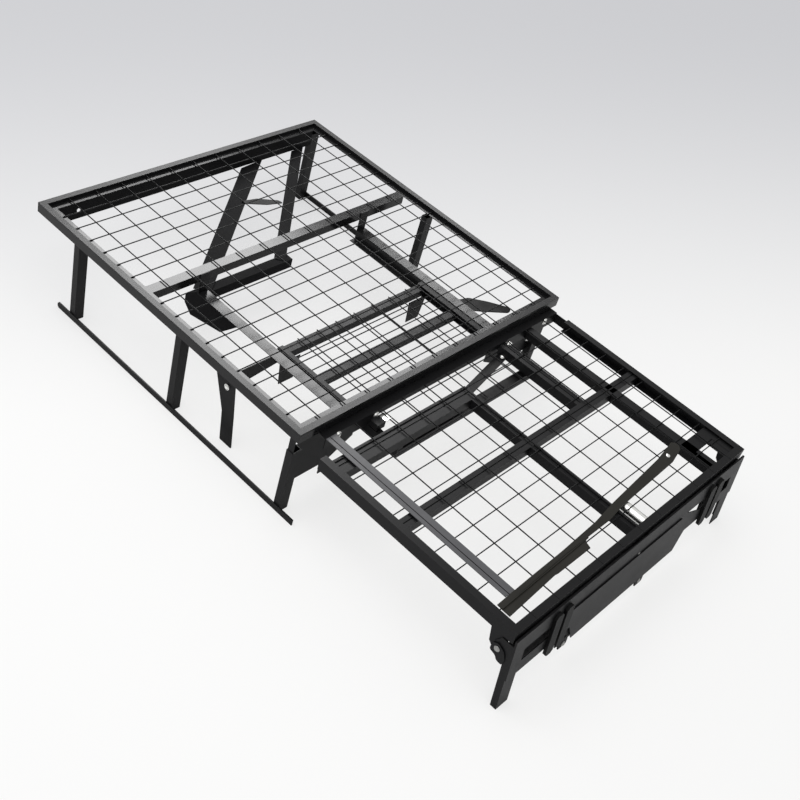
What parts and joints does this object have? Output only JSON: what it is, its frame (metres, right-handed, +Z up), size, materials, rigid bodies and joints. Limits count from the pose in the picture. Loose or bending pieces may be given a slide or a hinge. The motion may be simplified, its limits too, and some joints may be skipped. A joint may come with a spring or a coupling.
{
  "type": "sofa bed pull-out frame",
  "caption": "Black steel sofa bed frame with welded wire decks; the front panel slides out on guide rails and stands on a folding leg frame.",
  "frame": {"origin": "on the floor, under the middle of the pulled-out bed", "axes": "+X from the fixed rear end to the pull-out front end, +Y from the left side to the right side, +Z up"},
  "size_m": [2.0395, 1.204, 0.325],
  "materials": {
    "black_steel": "gloss powder coat",
    "wire": "gloss powder coat",
    "zinc": "bright zinc"
  },
  "bodies": {
    "base": {"front_gussets": "black_steel", "front_mesh": "wire", "front_posts": "black_steel", "front_rail": "black_steel", "guide_hangers": "black_steel", "hangers": "black_steel", "inner_leg": "black_steel", "left_front_leg": "black_steel", "left_guide_rail": "black_steel", "left_middle_leg": "black_steel", "left_rail": "black_steel", "left_rear_leg": "black_steel", "left_runner": "black_steel", "left_support_arm": "black_steel", "low_cross_bar": "black_steel", "low_link": "black_steel", "main_crossbar": "black_steel", "rear_cross_plate": "black_steel", "rear_mesh": "wire", "rear_rail": "black_steel", "right_front_leg": "black_steel", "right_guide_rail": "black_steel", "right_middle_leg": "black_steel", "right_rail": "black_steel", "right_rear_leg": "black_steel", "right_runner": "black_steel", "right_support_arm": "black_steel"},
    "pull_out": {"bright_tube": "zinc", "carriage_bars": "black_steel", "carriage_mesh": "wire", "carriage_rails": "black_steel", "carriage_spacers": "black_steel", "corner_plates": "black_steel", "diagonal_brace": "black_steel", "left_ear": "black_steel", "left_strap": "black_steel", "panel_centre_bar": "black_steel", "panel_crossbar": "black_steel", "panel_diagonal_arm": "black_steel", "panel_front_rail": "black_steel", "panel_left_rail": "black_steel", "panel_mesh": "wire", "panel_rear_bar": "black_steel", "panel_rear_rail": "black_steel", "panel_right_rail": "black_steel", "panel_short_bar": "black_steel", "panel_stays": "black_steel", "right_ear": "black_steel", "right_strap": "black_steel"},
    "front_legs": {"left_folding_leg": "black_steel", "leg_clips": "black_steel", "leg_cross_plate": "black_steel", "right_folding_leg": "black_steel"}
  },
  "joints": [
    {"name": "panel_slide", "type": "slide", "parent": "base", "child": "pull_out", "axis": [1, 0, 0], "range_m": [-0.47, 0]},
    {"name": "leg_fold", "type": "hinge", "parent": "pull_out", "child": "front_legs", "pos_m": [0.94848, 0, 0.1955], "axis": [0, 1, 0], "range_deg": [0, 95]}
  ]
}
